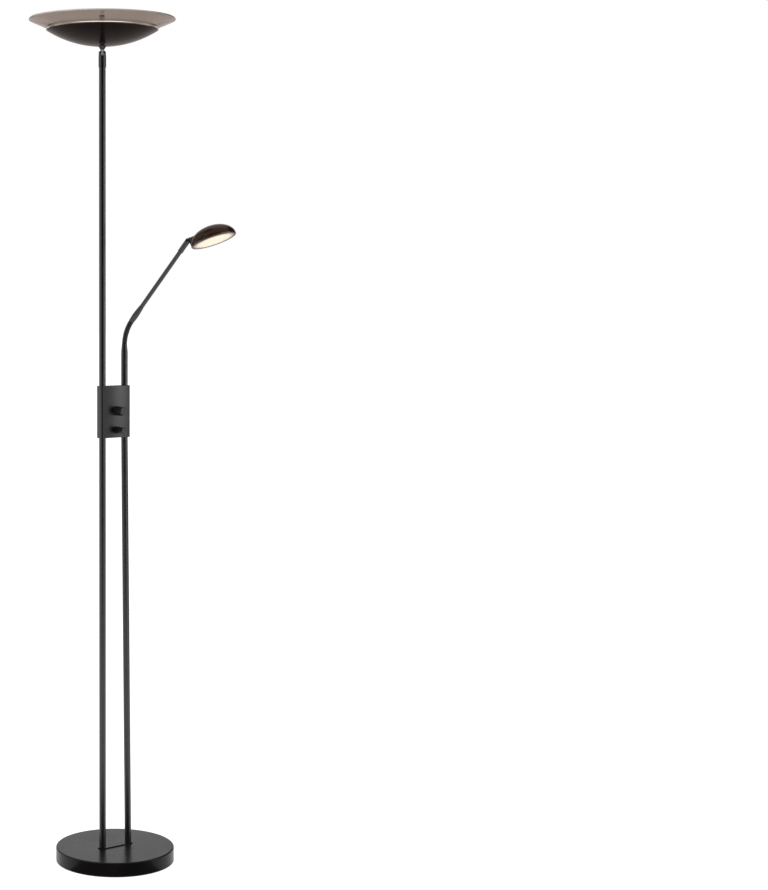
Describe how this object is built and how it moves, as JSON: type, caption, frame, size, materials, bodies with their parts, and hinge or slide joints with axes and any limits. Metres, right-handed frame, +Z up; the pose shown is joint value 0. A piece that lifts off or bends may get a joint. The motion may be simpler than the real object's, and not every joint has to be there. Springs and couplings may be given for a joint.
{
  "type": "torchiere floor lamp with reading light",
  "caption": "Floor lamp with a round base, a tall pole to a tilting bowl uplight under a glass ring, and a side pole to a swivelling gooseneck reading light.",
  "frame": {"origin": "centre of the base pad's underside, on the floor", "axes": "+Z up; +X from the main pole to the reading pole; -Y the side that the dimmer knobs face"},
  "size_m": [0.3445, 0.4002, 1.7975],
  "materials": {
    "black_powder_coat": "satin powder coat",
    "gooseneck_black": "satin black lacquer over ribbed steel links",
    "dish_lacquer": "gloss lacquer",
    "dome_lacquer": "gloss lacquer",
    "knob_black": "satin moulded",
    "smoked_glass": "polished",
    "clear_acrylic": "polished, pressed prisms",
    "clear_clip_plastic": "moulded clear plastic",
    "smoked_plastic": "moulded smoked plastic",
    "led_light": "glowing phosphor",
    "white_plate": "matte white",
    "terminal_white": "moulded",
    "plated_steel": "zinc plated",
    "steel_sleeve": "turned",
    "dimmer_metal": "pressed",
    "circuit_board": "solder mask",
    "component_black": "moulded",
    "base_steel": "stamped, painted",
    "cast_iron": "as cast",
    "pad_rubber": "matte"
  },
  "bodies": {
    "stand": {"base_pad": "pad_rubber", "base_plate": "base_steel", "base_weight": "cast_iron", "base_cover": "black_powder_coat", "base_screws": "plated_steel", "cord_grommet": "pad_rubber", "foot_plate": "black_powder_coat", "foot_studs": "plated_steel", "foot_bushes": "steel_sleeve", "foot_nuts": "plated_steel", "main_pole_lower": "black_powder_coat", "main_pole_upper": "black_powder_coat", "reading_pole": "black_powder_coat", "reading_stub": "black_powder_coat", "pole_couplers": "steel_sleeve", "box_lid": "black_powder_coat", "box_back": "black_powder_coat", "box_screws": "plated_steel", "dimmer_board": "circuit_board", "driver_parts": "component_black", "dimmers": "dimmer_metal", "dimmer_nuts": "plated_steel", "knuckle_sleeve": "black_powder_coat", "head_pivot_screw": "plated_steel", "head_pivot_nut": "plated_steel"},
    "upper_knob": {"knob_upper": "knob_black", "dimmer_shaft_upper": "dimmer_metal"},
    "lower_knob": {"knob_lower": "knob_black", "dimmer_shaft_lower": "dimmer_metal"},
    "uplight": {"head_neck": "black_powder_coat", "stem_tube": "plated_steel", "stem_nuts": "plated_steel", "plate_spacer": "steel_sleeve", "uplight_dish": "dish_lacquer", "led_plate": "white_plate", "led_bars": "led_light", "wire_terminal": "terminal_white", "diffuser": "clear_acrylic", "glass_shade": "smoked_glass", "glass_clips": "clear_clip_plastic", "shade_screws": "plated_steel"},
    "swivel": {"gooseneck_fitting": "black_powder_coat"},
    "link_1": {"gooseneck_link_1": "gooseneck_black"},
    "link_2": {"gooseneck_link_2": "gooseneck_black"},
    "link_3": {"gooseneck_link_3": "gooseneck_black"},
    "link_4": {"gooseneck_link_4": "gooseneck_black"},
    "link_5": {"gooseneck_link_5": "gooseneck_black"},
    "link_6": {"gooseneck_link_6": "gooseneck_black"},
    "arm": {"arm_ferrule": "black_powder_coat", "reading_arm_tube": "black_powder_coat", "arm_knuckle_sleeve": "black_powder_coat", "arm_pivot_screw": "plated_steel", "arm_pivot_nut": "plated_steel"},
    "reading_head": {"reading_tongue": "dome_lacquer", "reading_dome": "dome_lacquer", "reading_led_board": "white_plate", "reading_leds": "led_light", "reading_screws": "plated_steel", "reading_lens": "clear_acrylic", "reading_rim_ring": "smoked_plastic"}
  },
  "joints": [
    {"name": "head_tilt", "type": "hinge", "parent": "stand", "child": "uplight", "pos_m": [-0.0325, 0, 1.7233], "axis": [0.8192, -0.5736, 0], "range_deg": [-75, 75]},
    {"name": "reading_swivel", "type": "hinge", "parent": "stand", "child": "swivel", "pos_m": [0.0246, 0, 1.0958], "axis": [0, 0, 1], "range_deg": [-42, 173]},
    {"name": "gooseneck_bend_1", "type": "hinge", "parent": "swivel", "child": "link_1", "pos_m": [0.0246, 0, 1.11355], "axis": [0.9205, 0.3907, 0], "range_deg": [-5.59, 7]},
    {"name": "gooseneck_bend_2", "type": "hinge", "parent": "link_1", "child": "link_2", "pos_m": [0.02492, -0.00076, 1.12201], "axis": [0.9205, 0.3907, 0], "range_deg": [-5.59, 7]},
    {"name": "gooseneck_bend_3", "type": "hinge", "parent": "link_2", "child": "link_3", "pos_m": [0.02557, -0.00228, 1.13035], "axis": [0.9205, 0.3907, 0], "range_deg": [-5.59, 7]},
    {"name": "gooseneck_bend_4", "type": "hinge", "parent": "link_3", "child": "link_4", "pos_m": [0.02653, -0.00454, 1.13849], "axis": [0.9205, 0.3907, 0], "range_deg": [-5.59, 7]},
    {"name": "gooseneck_bend_5", "type": "hinge", "parent": "link_4", "child": "link_5", "pos_m": [0.02779, -0.00752, 1.14635], "axis": [0.9205, 0.3907, 0], "range_deg": [-5.59, 7]},
    {"name": "gooseneck_bend_6", "type": "hinge", "parent": "link_5", "child": "link_6", "pos_m": [0.02935, -0.01119, 1.15385], "axis": [0.9205, 0.3907, 0], "range_deg": [-5.59, 7]},
    {"name": "gooseneck_bend_7", "type": "hinge", "parent": "link_6", "child": "arm", "pos_m": [0.03118, -0.01551, 1.16094], "axis": [0.9205, 0.3907, 0], "range_deg": [-5.59, 7]},
    {"name": "reading_tilt", "type": "hinge", "parent": "arm", "child": "reading_head", "pos_m": [0.08541, -0.14325, 1.33139], "axis": [-0.9205, -0.3907, 0], "range_deg": [-55, 70]},
    {"name": "upper_knob_turn", "type": "hinge", "parent": "stand", "child": "upper_knob", "pos_m": [-0.0027, -0.0095, 0.9718], "axis": [0, -1, 0], "range_deg": [-135, 135]},
    {"name": "lower_knob_turn", "type": "hinge", "parent": "stand", "child": "lower_knob", "pos_m": [-0.0027, -0.0095, 0.9309], "axis": [0, -1, 0], "range_deg": [-135, 135]}
  ]
}
